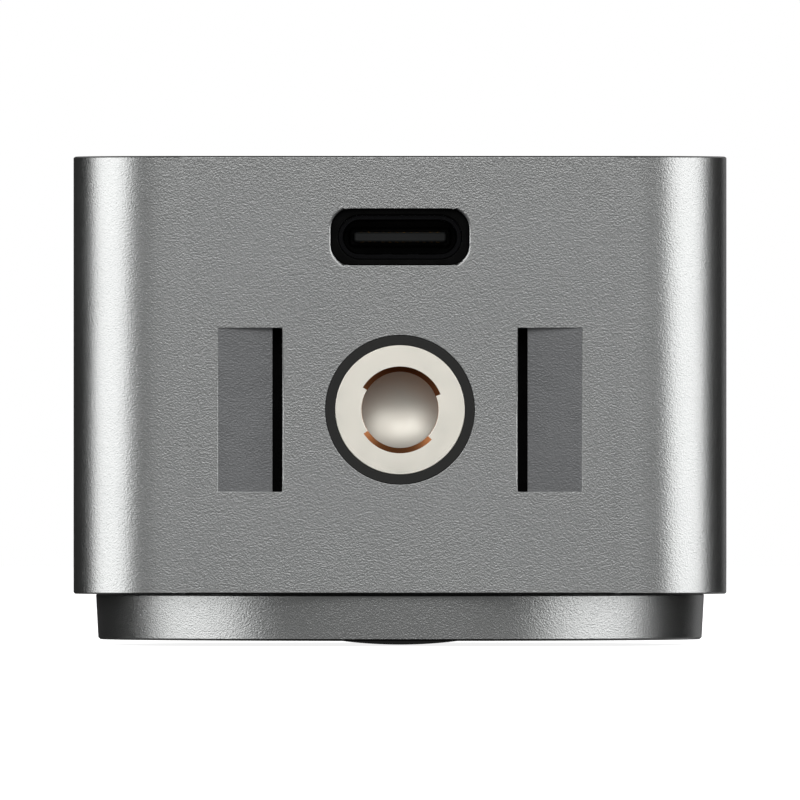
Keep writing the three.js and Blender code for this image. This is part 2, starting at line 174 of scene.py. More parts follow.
def carve(piece, *cutters, operation="DIFFERENCE"):
    for cutter in cutters:
        applyModifier(piece, "BOOLEAN", operation=operation, solver="EXACT", object=cutter)
        bpy.data.meshes.remove(cutter.data)
    return piece


# a profile of (radius, height) points spun about an axis; it closes itself off the axis
def turnPiece(name, profile, steps=128, axis="Z", centre=(0, 0, 0)):
    deselectAll()
    bpy.ops.mesh.primitive_plane_add(size=mm)
    piece = nameActive(name)
    centre = Vector(centre)
    points = [(centre + (Vector((r, 0, h)) if axis == "Z" else Vector((r, h, 0)))) * mm
              for r, h in profile]
    bpy.ops.object.mode_set(mode="EDIT")
    bpy.ops.mesh.select_mode(type="VERT")
    bpy.ops.mesh.select_all(action="SELECT")
    bpy.ops.mesh.merge(type="CENTER")
    bpy.ops.transform.translate(value=points[0])
    for start, end in zip(points, points[1:]):
        bpy.ops.mesh.extrude_vertices_move(TRANSFORM_OT_translate={"value": end - start})
    if profile[0][0] > 0 or profile[-1][0] > 0:
        ends = (points[0], points[-1])
        pick(piece, "VERT", lambda vert: any((vert.co - end).length < 1e-7 for end in ends))
        bpy.ops.mesh.edge_face_add()
    bpy.ops.mesh.select_all(action="SELECT")
    bpy.ops.mesh.spin(steps=steps, angle=2 * math.pi, center=centre * mm,
                      axis=(0, 0, 1) if axis == "Z" else (0, 1, 0))
    bpy.ops.mesh.select_all(action="SELECT")
    bpy.ops.mesh.remove_doubles(threshold=1e-7)
    bpy.ops.mesh.normals_make_consistent(inside=False)
    leaveEdit()
    return piece


def soften(piece, width, segments=3):
    applyModifier(piece, "BEVEL", width=width * mm, segments=segments, limit_method="ANGLE",
                  angle_limit=math.radians(30))
    return piece


def rescale(piece, factor):
    makeActive(piece)
    piece.scale = (factor, factor, factor)
    bpy.ops.object.transform_apply(location=False, rotation=False, scale=True)


def settle(piece, body, slot, *nodes, materials=()):
    makeActive(piece)
    bpy.ops.object.shade_smooth_by_angle(angle=math.radians(40))
    rescale(piece, 1000)
    applyModifier(piece, "WEIGHTED_NORMAL", keep_sharp=True)
    rescale(piece, mm)
    piece.data.materials.clear()
    for material in materials:
        piece.data.materials.append(material)
    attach(piece, body)
    if nodes:
        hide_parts(*nodes)
    return piece


def copyPiece(piece, name, offset):
    twin = piece.copy()
    twin.data = piece.data.copy()
    twin.name = name
    twin.data.name = name
    bpy.context.collection.objects.link(twin)
    editWhole(twin)
    bpy.ops.transform.translate(value=Vector(offset) * mm)
    leaveEdit()
    return twin


# Materials.
def fromHex(code):
    channels = [int(code[i:i + 2], 16) / 255 for i in (1, 3, 5)]
    linear = [c / 12.92 if c <= 0.04045 else ((c + 0.055) / 1.055) ** 2.4 for c in channels]
    return (*linear, 1)


# adds a node; a socket given as an input is linked, anything else is set on it
def addNode(tree, kind, inputs=None, **settings):
    node = tree.nodes.new(kind)
    for key, value in settings.items():
        setattr(node, key, value)
    for key, value in (inputs or {}).items():
        if isinstance(value, bpy.types.NodeSocket):
            tree.links.new(value, node.inputs[key])
        else:
            node.inputs[key].default_value = value
    return node


def startMaterial(name, colour, roughness, metallic=0.0, **shaderInputs):
    material = bpy.data.materials.new(name)
    material.use_nodes = True
    tree = material.node_tree
    shader = tree.nodes["Principled BSDF"]
    shader.inputs["Base Color"].default_value = fromHex(colour)
    shader.inputs["Roughness"].default_value = roughness
    shader.inputs["Metallic"].default_value = metallic
    for key, value in shaderInputs.items():
        shader.inputs[key].default_value = value
    material.diffuse_color = fromHex(colour)
    return material, tree, shader


def objectCoords(tree, stretch=(1, 1, 1)):
    coords = addNode(tree, "ShaderNodeTexCoord")
    return addNode(tree, "ShaderNodeMapping",
                   {"Vector": coords.outputs["Object"], "Scale": stretch}).outputs["Vector"]


# noise whose grains are about grain mm wide
def grainNoise(tree, vector, grain, detail=2.0, roughness=0.5):
    return addNode(tree, "ShaderNodeTexNoise",
                   {"Vector": vector, "Scale": 1 / (grain * mm), "Detail": detail,
                    "Roughness": roughness}).outputs["Fac"]


# a surface relief of about depth mm from a 0 to 1 height
def addRelief(tree, shader, height, depth, strength=1.0):
    bump = addNode(tree, "ShaderNodeBump",
                   {"Height": height, "Distance": depth * mm, "Strength": strength})
    tree.links.new(bump.outputs["Normal"], shader.inputs["Normal"])


def spreadRoughness(tree, shader, source, low, high):
    spread = addNode(tree, "ShaderNodeMapRange",
                     {"Value": source, "From Min": 0.3, "From Max": 0.7, "To Min": low,
                      "To Max": high})
    tree.links.new(spread.outputs["Result"], shader.inputs["Roughness"])


def shadeColour(tree, shader, source, dark, light):
    blend = addNode(tree, "ShaderNodeMix",
                    {"Factor": source, "A": fromHex(dark), "B": fromHex(light)},
                    data_type="RGBA")
    # a Mix node has one A and one B for each data type, so the colour pair is set by place
    blend.inputs[6].default_value = fromHex(dark)
    blend.inputs[7].default_value = fromHex(light)
    tree.links.new(blend.outputs[2], shader.inputs["Base Color"])


# 6000-series aluminium, milled, bead-blasted and anodised space grey: a satin skin of small
# pits that breaks highlights into fine ripples and blurs them
def blastedAluminium():
    grain = {"beadPit": 0.13, "fineGrit": 0.07, "depth": 0.017}
    material, tree, shader = startMaterial("blastedAluminium", "#8b8c8c", 0.29, 1.0)
    coords = objectCoords(tree, (0.95, 0.95, 1.15))
    pits = grainNoise(tree, coords, grain["beadPit"], 1.5, 0.45)
    grit = grainNoise(tree, coords, grain["fineGrit"], 1.0)
    height = addNode(tree, "ShaderNodeMath", {0: grit, 1: 0.35, 2: pits},
                     operation="MULTIPLY_ADD")
    addRelief(tree, shader, height.outputs[0], grain["depth"])
    clouds = grainNoise(tree, coords, 9.0, 2.0)
    spreadRoughness(tree, shader, clouds, 0.28, 0.3)
    shadeColour(tree, shader, pits, "#848685", "#949494")
    return material


# the same alloy inside the pockets, where the beads hit less and leave less relief; its base
# colour is darker than the face's
def pocketAluminium():
    material, tree, shader = startMaterial("pocketAluminium", "#727374", 0.3, 1.0)
    coords = objectCoords(tree, (0.8, 0.8, 1.15))
    pits = grainNoise(tree, coords, 0.13, 1.5)
    addRelief(tree, shader, pits, 0.013)
    shadeColour(tree, shader, pits, "#707172", "#747576")
    spreadRoughness(tree, shader, grainNoise(tree, coords, 1.5), 0.28, 0.34)
    return material


# free-cutting brass under a warm satin nickel plate: pale cream, with the turning lines of
# the tool just showing as rings
def nickelPlatedBrass(name, roughness):
    material, tree, shader = startMaterial(name, "#d8d5cc", roughness, 1.0)
    coords = addNode(tree, "ShaderNodeTexCoord").outputs["Object"]
    centred = addNode(tree, "ShaderNodeMapping",
                      {"Vector": coords, "Location": (0, 0, -threadZ * mm)}).outputs["Vector"]
    rings = addNode(tree, "ShaderNodeTexWave",
                    {"Vector": centred, "Scale": 1 / (0.5 * mm), "Distortion": 0.6,
                     "Detail": 1.0},
                    wave_type="RINGS", rings_direction="Y")
    addRelief(tree, shader, rings.outputs["Fac"], 0.0006)
    clouds = grainNoise(tree, coords, 2.0)
    spreadRoughness(tree, shader, clouds, roughness - 0.04, roughness + 0.04)
    shadeColour(tree, shader, clouds, "#d4d2c8", "#dcd7cd")
    return material


# moulded glass-filled plastic, dark grey: dull, with a very fine even spark erosion texture
def mouldedPlastic(name, colour, roughness=0.5, grain=0.09, depth=0.002, shine=0.5):
    material, tree, shader = startMaterial(name, colour, roughness)
    shader.inputs["Specular IOR Level"].default_value = shine
    coords = objectCoords(tree)
    addRelief(tree, shader, grainNoise(tree, coords, grain), depth)
    spreadRoughness(tree, shader, grainNoise(tree, coords, 1.2), roughness - 0.05,
                    roughness + 0.05)
    return material


# turned or stamped metal: faint directional lines from the tool or the rolling mill
def workedMetal(name, colour, roughness, stretch=(1, 1, 0.1), grain=0.08, depth=0.001):
    material, tree, shader = startMaterial(name, colour, roughness, 1.0)
    coords = objectCoords(tree, stretch)
    lines = grainNoise(tree, coords, grain, 3.0)
    addRelief(tree, shader, lines, depth)
    spreadRoughness(tree, shader, lines, roughness - 0.05, roughness + 0.07)
    return material


# polished glass, tinted almost black: one clean sharp reflection, dust-fine variation only
def darkGlass():
    material, tree, shader = startMaterial("darkDomeGlass", "#060607", 0.04, IOR=1.52)
    coords = objectCoords(tree)
    spreadRoughness(tree, shader, grainNoise(tree, coords, 3.0), 0.02, 0.06)
    return material


def clearGlass(name, tint, roughness=0.03):
    material, tree, shader = startMaterial(name, tint, roughness, IOR=1.52)
    shader.inputs["Transmission Weight"].default_value = 1.0
    spreadRoughness(tree, shader, grainNoise(tree, objectCoords(tree), 2.0), roughness,
                    roughness + 0.03)
    return material


# glass-epoxy board under solder mask: the weave of the cloth shows as a faint grid
def circuitBoard():
    material, tree, shader = startMaterial("solderMaskBoard", "#14452c", 0.4)
    coords = objectCoords(tree)
    weave = [addNode(tree, "ShaderNodeTexWave",
                     {"Vector": coords, "Scale": 1 / (3.0 * mm)},
                     bands_direction=direction).outputs["Fac"] for direction in "XY"]
    grid = addNode(tree, "ShaderNodeMath", {0: weave[0], 1: weave[1]}, operation="MULTIPLY")
    shadeColour(tree, shader, grid.outputs[0], "#103a25", "#1b5537")
    addRelief(tree, shader, grid.outputs[0], 0.004)
    return material


# a soft filled pad, matt and slightly mottled
def softPad(name, colour, shine=0.5):
    material, tree, shader = startMaterial(name, colour, 0.8)
    shader.inputs["Specular IOR Level"].default_value = shine
    coords = objectCoords(tree)
    addRelief(tree, shader, grainNoise(tree, coords, 0.25), 0.02)
    spreadRoughness(tree, shader, grainNoise(tree, coords, 1.0), 0.75, 0.9)
    return material


# enamelled copper wire wound in layers: one fine ring for each turn
def woundCopper():
    material, tree, shader = startMaterial("enamelledCopperWire", "#b8672f", 0.3, 1.0)
    coords = objectCoords(tree)
    turns = addNode(tree, "ShaderNodeTexWave",
                    {"Vector": coords, "Scale": 1 / (1.4 * mm)}, bands_direction="Z")
    addRelief(tree, shader, turns.outputs["Fac"], 0.03)
    shadeColour(tree, shader, turns.outputs["Fac"], "#8a4520", "#c9783b")
    return material


finishes = {
    "blasted_aluminium": blastedAluminium(),
    "panel_gloss": mouldedPlastic("glossBlackPanel", "#08080a", 0.12, 1.5, 0.0005),
    "black_anodised": workedMetal("blackAnodisedTurned", "#1a1b1c", 0.38),
    "dome_glass": darkGlass(),
    "circuit_board": circuitBoard(),
    "clear_acrylic": clearGlass("clearAcrylicGuide", "#eef2f2", 0.12),
    "steel": workedMetal("stampedSteel", "#b4b6b8", 0.3),
    "black_nylon": mouldedPlastic("glassFilledNylon", "#060606", 0.6, shine=0.1),
    "nickel_brass": nickelPlatedBrass("nickelPlatedBrass", 0.4),
    "collar_plastic": mouldedPlastic("darkCollarPlastic", "#262625", 0.6, shine=0.1),
    "lens_glass": clearGlass("coatedLensGlass", "#dfe9ee"),
    "coil_copper": woundCopper(),
    "magnet_nickel": workedMetal("nickelPlatedMagnet", "#b9b8b4", 0.2),
    "spring_bronze": workedMetal("etchedSpringBronze", "#b58d4a", 0.3),
    "filter_glass": clearGlass("blueGreenFilterGlass", "#9fd6d8"),
    "sensor_ceramic": mouldedPlastic("sensorCoverGlass", "#3a3540", 0.18, 0.5, 0.0005),
    "thermal_pad": softPad("filledSiliconePad", "#8f979e"),
    "bare_aluminium": workedMetal("machinedAluminium", "#d0d1d2", 0.32),
    "flex_circuit": mouldedPlastic("polyimideFlex", "#9a5a18", 0.35, 0.4, 0.001),
    "chip_plastic": mouldedPlastic("blackEpoxyMoulding", "#222324", 0.5),
    "black_steel": workedMetal("blackPlatedSteel", "#0e0e0f", 0.4),
    "black_silicone": softPad("mouldedSilicone", "#040404", 0.06),
}
pocketFinish = pocketAluminium()
goldFinish = workedMetal("goldPlatedContact", "#d9a94e", 0.25)
tongueFinish = mouldedPlastic("tonguePolymer", "#181919", 0.6, shine=0.12)
dishFinish = nickelPlatedBrass("dullPlatedBrass", 0.46)
# painted shade: a dark brown for the walls inside the threaded hole, in place of the shade there
boreShadeFinish = workedMetal("boreShadeBrass", "#875736", 0.4, (1, 0.1, 1))
print("materials made:", len(bpy.data.materials))


# Camera, floor and studio light.
studio = {
    "lens": 1600.0,       # long, so that the view is all but parallel
    "frameWidth": 58.26,  # mm across the view, at the mounting face
    "aimHeight": 17.98,   # mm above the floor
    "floorSize": 2.4,     # metres across
    "floorTone": "#c8c8c8",
    "floorGlow": 0.86,
    "lightAim": (0, 0, 18),
}


def addCamera():
    deselectAll()
    distance = studio["frameWidth"] * mm * studio["lens"] / 36
    place = Vector((0, -half * mm - distance, studio["aimHeight"] * mm))
    bpy.ops.object.camera_add(location=place, rotation=(math.pi / 2, 0, 0))
    camera = bpy.context.object
    camera.data.lens = studio["lens"]
    camera.data.sensor_width = 36
    camera.data.clip_start = 0.05
    camera.data.clip_end = 20
    bpy.context.scene.camera = camera


# a rectangle of light that faces the part; azimuth 0 is in front of the mounting face and 90
# is to its right, and the sizes are in metres
def addSoftbox(name, azimuth, elevation, width, height, radiance, distance):
    a, e = math.radians(azimuth), math.radians(elevation)
    away = Vector((math.sin(a) * math.cos(e), -math.cos(a) * math.cos(e), math.sin(e)))
    deselectAll()
    aim = Vector(studio["lightAim"]) * mm
    bpy.ops.object.light_add(type="AREA", location=aim + away * distance)
    lamp = bpy.context.object
    lamp.name = name
    lamp.rotation_mode = "QUATERNION"
    lamp.rotation_quaternion = away.to_track_quat("Z", "Y")
    lamp.data.shape = "RECTANGLE"
    lamp.data.size, lamp.data.size_y = width, height
    lamp.data.energy = radiance * math.pi * width * height
    lamp.visible_camera = False


def addFloor():
    deselectAll()
    bpy.ops.mesh.primitive_circle_add(vertices=96, radius=studio["floorSize"] / 2,
                                      fill_type="NGON", location=(0, 0, 0))
    floor = nameActive("floor")
    paper = bpy.data.materials.new("whiteSweep")
    paper.use_nodes = True
    tree = paper.node_tree
    tree.nodes.remove(tree.nodes["Principled BSDF"])
    diffuse = addNode(tree, "ShaderNodeBsdfDiffuse", {"Color": fromHex(studio["floorTone"])})
    glow = addNode(tree, "ShaderNodeEmission", {"Strength": studio["floorGlow"]})
    total = addNode(tree, "ShaderNodeAddShader", {0: diffuse.outputs[0], 1: glow.outputs[0]})
    tree.links.new(total.outputs[0], tree.nodes["Material Output"].inputs["Surface"])
    floor.data.materials.append(paper)
    floor.visible_glossy = False
    floor.visible_diffuse = False


# what the metal mirrors round the set: (elevation in degrees, brightness), dark straight up
# and straight down, with pale card low and high, and nothing level with it at the back
air = {
    "front": ((-70, 0.0), (-30, 0.27), (0, 0.39), (50, 0.35), (75, 0.0)),
    "back": ((-70, 0.0), (-40, 0.25), (-20, 0.03), (12, 0.0), (30, 0.34), (75, 0.0)),
}


# the air itself: white to the eye, and in reflections as listed
def addWorld():
    world = bpy.data.worlds.new("studioAir")
    bpy.context.scene.world = world
    world.use_nodes = True
    tree = world.node_tree
    direction = addNode(tree, "ShaderNodeTexCoord").outputs["Generated"]
    parts = addNode(tree, "ShaderNodeSeparateXYZ", {"Vector": direction})
    level = addNode(tree, "ShaderNodeMapRange",
                    {"Value": parts.outputs["Z"], "From Min": -1.0, "From Max": 1.0})
    ramps = []
    for side in ("front", "back"):
        ramp = addNode(tree, "ShaderNodeValToRGB", {"Fac": level.outputs["Result"]})
        stops = ramp.color_ramp.elements
        while len(stops) < len(air[side]):
            stops.new(0.5)
        for stop, (elevation, brightness) in zip(stops, air[side]):
            stop.position = (math.sin(math.radians(elevation)) + 1) / 2
            stop.color = (brightness, brightness, brightness, 1)
        ramps.append(ramp.outputs["Color"])
    behind = addNode(tree, "ShaderNodeMapRange",
                     {"Value": parts.outputs["Y"], "From Min": -0.1, "From Max": 0.3})
    mirrored = addNode(tree, "ShaderNodeMixRGB",
                       {"Fac": behind.outputs["Result"], "Color1": ramps[0], "Color2": ramps[1]})
    seen = addNode(tree, "ShaderNodeLightPath").outputs["Is Camera Ray"]
    colour = addNode(tree, "ShaderNodeMixRGB",
                     {"Fac": seen, "Color1": mirrored.outputs["Color"], "Color2": (1, 1, 1, 1)})
    tree.links.new(colour.outputs["Color"], tree.nodes["Background"].inputs["Color"])


addCamera()
addFloor()
addWorld()
addSoftbox("topKey", 0, 24, 9.0, 3.3, 2.7, distance=6.0)
addSoftbox("leftStrip", -84, 19, 0.82, 0.95, 3.75, distance=0.9)
addSoftbox("rightStrip", 80, 19, 0.80, 0.95, 3.75, distance=0.9)
addSoftbox("backRim", 158, 0, 0.2, 0.7, 0.4, distance=0.8)
bpy.context.scene.view_settings.view_transform = "Standard"
bpy.context.scene.view_settings.look = "None"
print("studio set")


# Body shell.
body = {
    "cornerRadius": 8.2,
    "cornerSegments": 24,
    "edgeChamfer": 0.11,  # along the front and rear rims
    "portRound": 0.2,     # at the two ends of the port's cut-out
    "slotRound": 0.14,    # along the lip of each slot
    "mouthRound": 0.04,   # round the other openings of the mounting face
    "wall": 2.0,
    "padReach": 17.0,
    "padHeight": 18.0,
    "portSize": (10.06, 4.14),
    "portCorner": 1.5,
    "portRoundReach": 1.2,  # how far that rounding runs in from each end
    "rearRound": 0.08,
    "coverGap": 0.1,
    "collarRadius": threadHigh.x + 0.03,
    "boreRadius": 18.0,
}
coverSize = boxOf("rear_cover")[1].x * 2
coverCorner = body["cornerRadius"] + coverSize / 2 - half
pocket = {
    "outer": 13.25,
    "rampEnd": 9.3,
    "slotEdge": 8.58,
    "undercut": 7.1,
    "rampTop": 0.1,
    "rampFoot": 1.1,
    "lip": 1.4,
    "depth": padFace + half + 0.5,  # right through, to the retainer plate
    "height": 11.93,
}


def addUpright(name, size, low, high, radius, segments=12):
    block = addBlock(name, (-size / 2, -size / 2, low), (size / 2, size / 2, high))
    return roundEdges(block, runsAlong(2), radius, segments)


# a pocket's cutters: the ramp, the slot and the undercut that runs back towards the thread
def pocketCutters(side):
    slope = (pocket["rampFoot"] - pocket["rampTop"]) / (pocket["outer"] - pocket["rampEnd"])
    deepest = pocket["rampFoot"] + slope * (pocket["rampEnd"] - pocket["slotEdge"])
    bottom, top = threadZ - pocket["height"] / 2, threadZ + pocket["height"] / 2

    def cutterBlock(name, inner, outer, start, end):
        left, right = sorted((side * inner, side * outer))
        return addBlock(name, (left, start - half, bottom), (right, end - half, top))

    ramp = cutterBlock("ramp", pocket["slotEdge"], pocket["outer"], -1, deepest)
    pick(ramp, "VERT", lambda vert: abs(vert.co.x / mm - side * pocket["outer"]) < 0.01
         and vert.co.y / mm > -half)
    bpy.ops.transform.translate(value=(0, (pocket["rampTop"] - deepest) * mm, 0))
    leaveEdit()
    slot = cutterBlock("slot", pocket["slotEdge"], pocket["rampEnd"], -1, pocket["depth"])
    back = cutterBlock("back", pocket["undercut"], pocket["rampEnd"], pocket["lip"],
                       pocket["depth"])
    return ramp, slot, back


def buildBodyShell():
    shell = addUpright("bodyShell", 2 * half, frontZ, rearZ, body["cornerRadius"],
                       body["cornerSegments"])
    for level in (frontZ, rearZ):
        roundEdges(shell, sharpIn(2, level), body["edgeChamfer"], 1)
    inner = half - body["wall"]
    floorZ = frontZ + body["wall"]
    cavity = addUpright("cavity", 2 * inner, floorZ, rearZ + 1,
                        body["cornerRadius"] - body["wall"])
    pad = addBlock("pad", (-body["padReach"], -inner - 1, threadZ - body["padHeight"] / 2),
                   (body["padReach"], padFace, threadZ + body["padHeight"] / 2))
    carve(cavity, pad)
    recess = addUpright("recess", coverSize + 2 * body["coverGap"], coverZ, rearZ + 1,
                        coverCorner + body["coverGap"])
    bore = addRod("bore", body["boreRadius"], (0, 0, frontZ - 1), (0, 0, floorZ + 1), sides=128)
    width, height = body["portSize"]
    port = addBlock("port", (-width / 2, -half - 1, portZ - height / 2),
                    (width / 2, -inner + 1, portZ + height / 2))
    roundEdges(port, runsAlong(1), body["portCorner"], 12)
    collarHole = addRod("collarHole", body["collarRadius"], (0, -half - 1, threadZ),
                        (0, padFace + 1, threadZ), "Y", 96)
    carve(shell, cavity, recess, bore, port, collarHole, *pocketCutters(1), *pocketCutters(-1))
    editWhole(shell)
    bpy.ops.mesh.dissolve_limited(angle_limit=math.radians(0.05))
    leaveEdit()
    inFace = sharpIn(1, -half)
    roundEdges(shell, lambda edge: inFace(edge) and all(
        abs(vert.co.z / mm - portZ) < height / 2 + 0.1
        and abs(vert.co.x / mm) > width / 2 - body["portRoundReach"]
        for vert in edge.verts), body["portRound"], 4)
    roundEdges(shell, lambda edge: inFace(edge) and all(
        abs(abs(vert.co.x / mm) - pocket["slotEdge"]) < 0.01 for vert in edge.verts),
        body["slotRound"], 4)
    roundEdges(shell, inFace, body["mouthRound"], 2)
    roundEdges(shell, sharpIn(2, rearZ), body["rearRound"], 2)
    # the ramps have a finish of their own
    settle(shell, "camera", "blasted_aluminium", "body_shell",
           materials=(finishes["blasted_aluminium"], pocketFinish))
    deepest = (pocket["depth"] + 0.1 - half) * mm
    for face in shell.data.polygons:
        across = abs(face.center.x / mm)
        inPocket = (pocket["undercut"] - 0.1 < across < pocket["outer"] + 0.15
                    and face.center.y < deepest)
        level = abs(face.center.z / mm - threadZ) < pocket["height"] / 2 + 0.01
        if inPocket and level and face.center.y / mm > 0.08 - half:
            face.material_index = 1


buildBodyShell()
print("body shell built")


# Barrel ring, front panel, bezel and dome.
ringHigh = boxOf("barrel_ring")[1]
panelLow, panelHigh = boxOf("face_panel")
bezelLow, bezelHigh = boxOf("lens_bezel")
domeLow, domeHigh = boxOf("front_dome")
barrel = {
    "radius": ringHigh.x,
    "taper": 0.18,
    "edgeChamfer": 0.15,
    "spigot": 17.9,
    "bore": 17.2,
}
panel = {
    "inner": 9.25,
    "micHole": 0.55,
    "lightHole": 0.65,
    "edgeRound": 0.05,
}
bezel = {
    "face": 9.2,
    "flange": 10.6,
    "throat": 7.0,
    "domeGap": 0.1,
    "edgeRound": 0.06,
}
dome = {
    "curve": 33.6,
    "radius": 7.8,
    "thickness": 1.2,
    "steps": 24,
}


def buildBarrelRing():
    panelSeat = panelHigh.z + 0.02
    bore = panelHigh.x + 0.08
    ring = turnPiece("barrelRing", [
        (bore, rimZ), (barrel["radius"] - barrel["taper"], rimZ),
        (barrel["radius"], frontZ - 0.02), (barrel["spigot"], frontZ - 0.02),
        (barrel["spigot"], ringHigh.z), (barrel["bore"], ringHigh.z),
        (barrel["bore"], panelSeat), (bore, panelSeat),
    ], steps=192)
    soften(ring, barrel["edgeChamfer"], 1)
    settle(ring, "camera", "blasted_aluminium", "barrel_ring",
           materials=[finishes["blasted_aluminium"]])


def buildFacePanel():
    plate = turnPiece("facePanel", [
        (panel["inner"], panelLow.z), (panelHigh.x, panelLow.z), (panelHigh.x, panelHigh.z),
        (panel["inner"], panelHigh.z),
    ], steps=160)
    micX = boxOf("microphone_right")[0].x + 1.75
    pipeY = (boxOf("light_pipe")[0].y + boxOf("light_pipe")[1].y) / 2
    holes = [(micX, 0, panel["micHole"]), (-micX, 0, panel["micHole"]),
             (0, pipeY, panel["lightHole"])]
    carve(plate, *[addRod("hole", radius, (x, y, panelLow.z - 1), (x, y, panelHigh.z + 1),
                          sides=48) for x, y, radius in holes])
    soften(plate, panel["edgeRound"], 2)
    settle(plate, "camera", "panel_gloss", "face_panel", materials=[finishes["panel_gloss"]])


def sphericalFace(apex, curve, inwards=False):
    radii = [dome["radius"] * i / dome["steps"] for i in range(dome["steps"] + 1)]
    points = [(r, apex + curve - math.sqrt(curve ** 2 - r ** 2)) for r in radii]
    return points[::-1] if inwards else points


def buildDome():
    glass = turnPiece("frontDome", sphericalFace(domeLow.z, dome["curve"])
                      + sphericalFace(domeLow.z + dome["thickness"], dome["curve"] - 1, True),
                      steps=128)
    settle(glass, "camera", "dome_glass", "front_dome", materials=[finishes["dome_glass"]])


def buildLensBezel():
    domeSeat = domeHigh.z + 0.02
    panelBack = panelHigh.z + 0.02
    opening = dome["radius"] + bezel["domeGap"]
    ring = turnPiece("lensBezel", [
        (opening, bezelLow.z), (bezel["face"], bezelLow.z), (bezel["face"], panelBack),
        (bezel["flange"], panelBack), (bezel["flange"], bezelHigh.z),
        (bezel["throat"], bezelHigh.z), (bezel["throat"], domeSeat), (opening, domeSeat),
    ])
    soften(ring, bezel["edgeRound"])
    settle(ring, "camera", "black_anodised", "lens_bezel",
           materials=[finishes["black_anodised"]])


buildBarrelRing()
buildFacePanel()
buildDome()
buildLensBezel()
print("front built")


# Rear cover and its screws.
cover = {
    "edgeRound": 0.12,
    "grooveWidth": 1.0,
    "grooveDepth": 0.7,
    "grooveLength": 27.0,
    "groovePitch": 2.6,
    "grooveCount": 11,
    "screwPlace": 18.5,
    "screwHole": 0.9,
    "sinkRadius": 1.75,
    "sinkDepth": 0.85,
    "lipRound": 0.06,
}
screw = {
    "shank": 0.75,
    "head": 1.55,
    "headHeight": 0.95,
    "socket": 0.62,
    "socketDepth": 0.6,
}
corners = [(cover["screwPlace"] * x, cover["screwPlace"] * y)
           for x, y in ((1, 1), (-1, 1), (-1, -1), (1, -1))]


def buildRearCover():
    plate = addUpright("rearCover", coverSize, coverZ, rearZ, coverCorner, 16)
    roundEdges(plate, sharpIn(2, rearZ), cover["edgeRound"], 3)
    length, width = cover["grooveLength"], cover["grooveWidth"]
    first = -(cover["grooveCount"] - 1) / 2 * cover["groovePitch"]
    groove = addBlock("groove", (-length / 2, first - width / 2, rearZ - cover["grooveDepth"]),
                      (length / 2, first + width / 2, rearZ + 1))
    roundEdges(groove, runsAlong(2), width / 2 - 0.01, 8)
    roundEdges(groove, sharpIn(2, rearZ - cover["grooveDepth"]), 0.15, 3)
    grooves = [copyPiece(groove, "groove", (0, i * cover["groovePitch"], 0))
               for i in range(1, cover["grooveCount"])]
    hole, sink = cover["screwHole"], cover["sinkRadius"]
    sinks = [turnPiece("sink", [
        (0, coverZ - 1), (hole, coverZ - 1), (hole, rearZ - cover["sinkDepth"]), (sink, rearZ),
        (sink, rearZ + 1), (0, rearZ + 1),
    ], 48, centre=(x, y, 0)) for x, y in corners]
    carve(plate, groove, *grooves, *sinks)
    roundEdges(plate, sharpIn(2, rearZ), cover["lipRound"], 2)
    settle(plate, "camera", "blasted_aluminium", "rear_cover",
           materials=[finishes["blasted_aluminium"]])


# a countersunk screw with a hexagonal socket
def buildCoverScrews():
    screwLow, screwHigh = boxOf("cover_screw_1")
    x, y = corners[0]
    first = turnPiece("coverScrew1", [
        (0, screwLow.z), (screw["shank"], screwLow.z),
        (screw["shank"], rearZ - screw["headHeight"]), (screw["head"], screwHigh.z),
        (0, screwHigh.z),
    ], 48, centre=(x, y, 0))
    socket = addRod("socket", screw["socket"], (x, y, screwHigh.z - screw["socketDepth"]),
                    (x, y, screwHigh.z + 1), sides=6)
    carve(first, socket)
    soften(first, 0.04, 2)
    others = [copyPiece(first, f"coverScrew{i + 1}", (corners[i][0] - x, corners[i][1] - y, 0))
              for i in (1, 2, 3)]
    for i, piece in enumerate([first, *others]):
        settle(piece, "camera", "black_steel", f"cover_screw_{i + 1}",
               materials=[finishes["black_steel"]])


buildRearCover()
buildCoverScrews()
print("rear built")


# Tripod insert and its collar.
insert = {
    "radius": 4.72,
    "major": 3.175,
    "crest": 2.78,
    "lip": 0.3,       # what stands in front of the first turn of the thread
    "crescents": ((21, 149), (213, 317)),  # the arcs cut in the lip, degrees from +X to +Z
    "pitch": 1.27,
    "turns": 4,
    "firstTurn": 0.8,  # from the mouth to the middle of the first turn
    "ridgeFoot": 0.5,  # half the width of a turn, at its foot and at its tip
    "ridgeTip": 0.14,
    "boreDepth": 5.6,
    "dish": 1.0,      # how far the bottom of the bore is hollowed
    "flange": 6.2,
    "edgeRound": 0.05,
}
insertHigh = boxOf("tripod_insert")[1]
retainerBack = boxOf("insert_retainer")[1].y


# a crescent cutter: the arc from start to stop degrees, just deeper than the lip
def addCrescent(start, stop):
    radii = (insert["crest"] - 0.3, insert["major"] - 0.01)
    deselectAll()
    bpy.ops.mesh.primitive_plane_add(size=mm)
    crescent = nameActive("crescent")
    depth = insert["lip"] + 0.1
    section = [(r, y) for y in (-1, depth) for r in radii]
    angle = math.radians(start)
    for vert, (r, y) in zip(crescent.data.vertices, section):
        vert.co = Vector((r * math.cos(angle), y - half, threadZ + r * math.sin(angle))) * mm
    editWhole(crescent)
    bpy.ops.mesh.spin(steps=64, angle=math.radians(stop - start),
                      center=(0, 0, threadZ * mm), axis=(0, 1, 0))
    bpy.ops.mesh.select_all(action="SELECT")
    closeEnds()
    return crescent


